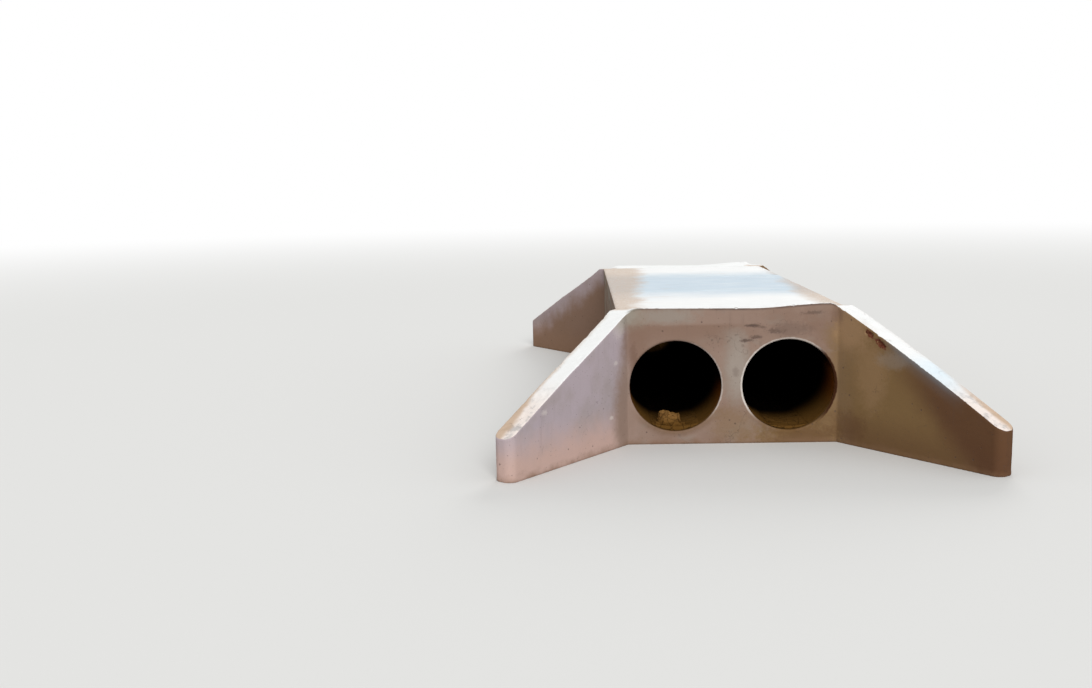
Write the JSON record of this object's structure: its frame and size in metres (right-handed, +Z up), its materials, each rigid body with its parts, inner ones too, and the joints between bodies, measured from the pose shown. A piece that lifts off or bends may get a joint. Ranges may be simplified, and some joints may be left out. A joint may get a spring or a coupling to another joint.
{
  "type": "culvert headwall",
  "caption": "Concrete pipe culvert with a headwall and splayed, sloping wing walls at each end, round barrels side by side and a level trowelled deck over them.",
  "frame": {"origin": "at ground level under the middle of the culvert, halfway between the two headwalls", "axes": "+Z up, +Y along the barrels from the front headwall to the rear one, +X to the right of someone who faces the front headwall"},
  "size_m": [5.029, 9.1574, 1.5601],
  "materials": {
    "wall_concrete": "cast against boards, soil-stained",
    "deck_concrete": "steel-trowelled, sun-bleached",
    "fill_concrete": "rough, cast in lifts",
    "precast_concrete": "smooth, spun, mud-stained at the bottom"
  },
  "bodies": {
    "root": {"deck_slab_1": "deck_concrete", "deck_slab_2": "deck_concrete", "deck_slab_3": "deck_concrete", "front_headwall": "wall_concrete", "front_left_wing_wall": "wall_concrete", "front_right_wing_wall": "wall_concrete", "left_pipe_1": "precast_concrete", "left_pipe_2": "precast_concrete", "left_pipe_3": "precast_concrete", "lower_fill": "fill_concrete", "rear_headwall": "wall_concrete", "rear_left_wing_wall": "wall_concrete", "rear_right_wing_wall": "wall_concrete", "right_pipe_1": "precast_concrete", "right_pipe_2": "precast_concrete", "right_pipe_3": "precast_concrete", "upper_fill_1": "fill_concrete", "upper_fill_2": "fill_concrete", "upper_fill_3": "fill_concrete"}
  },
  "joints": []
}
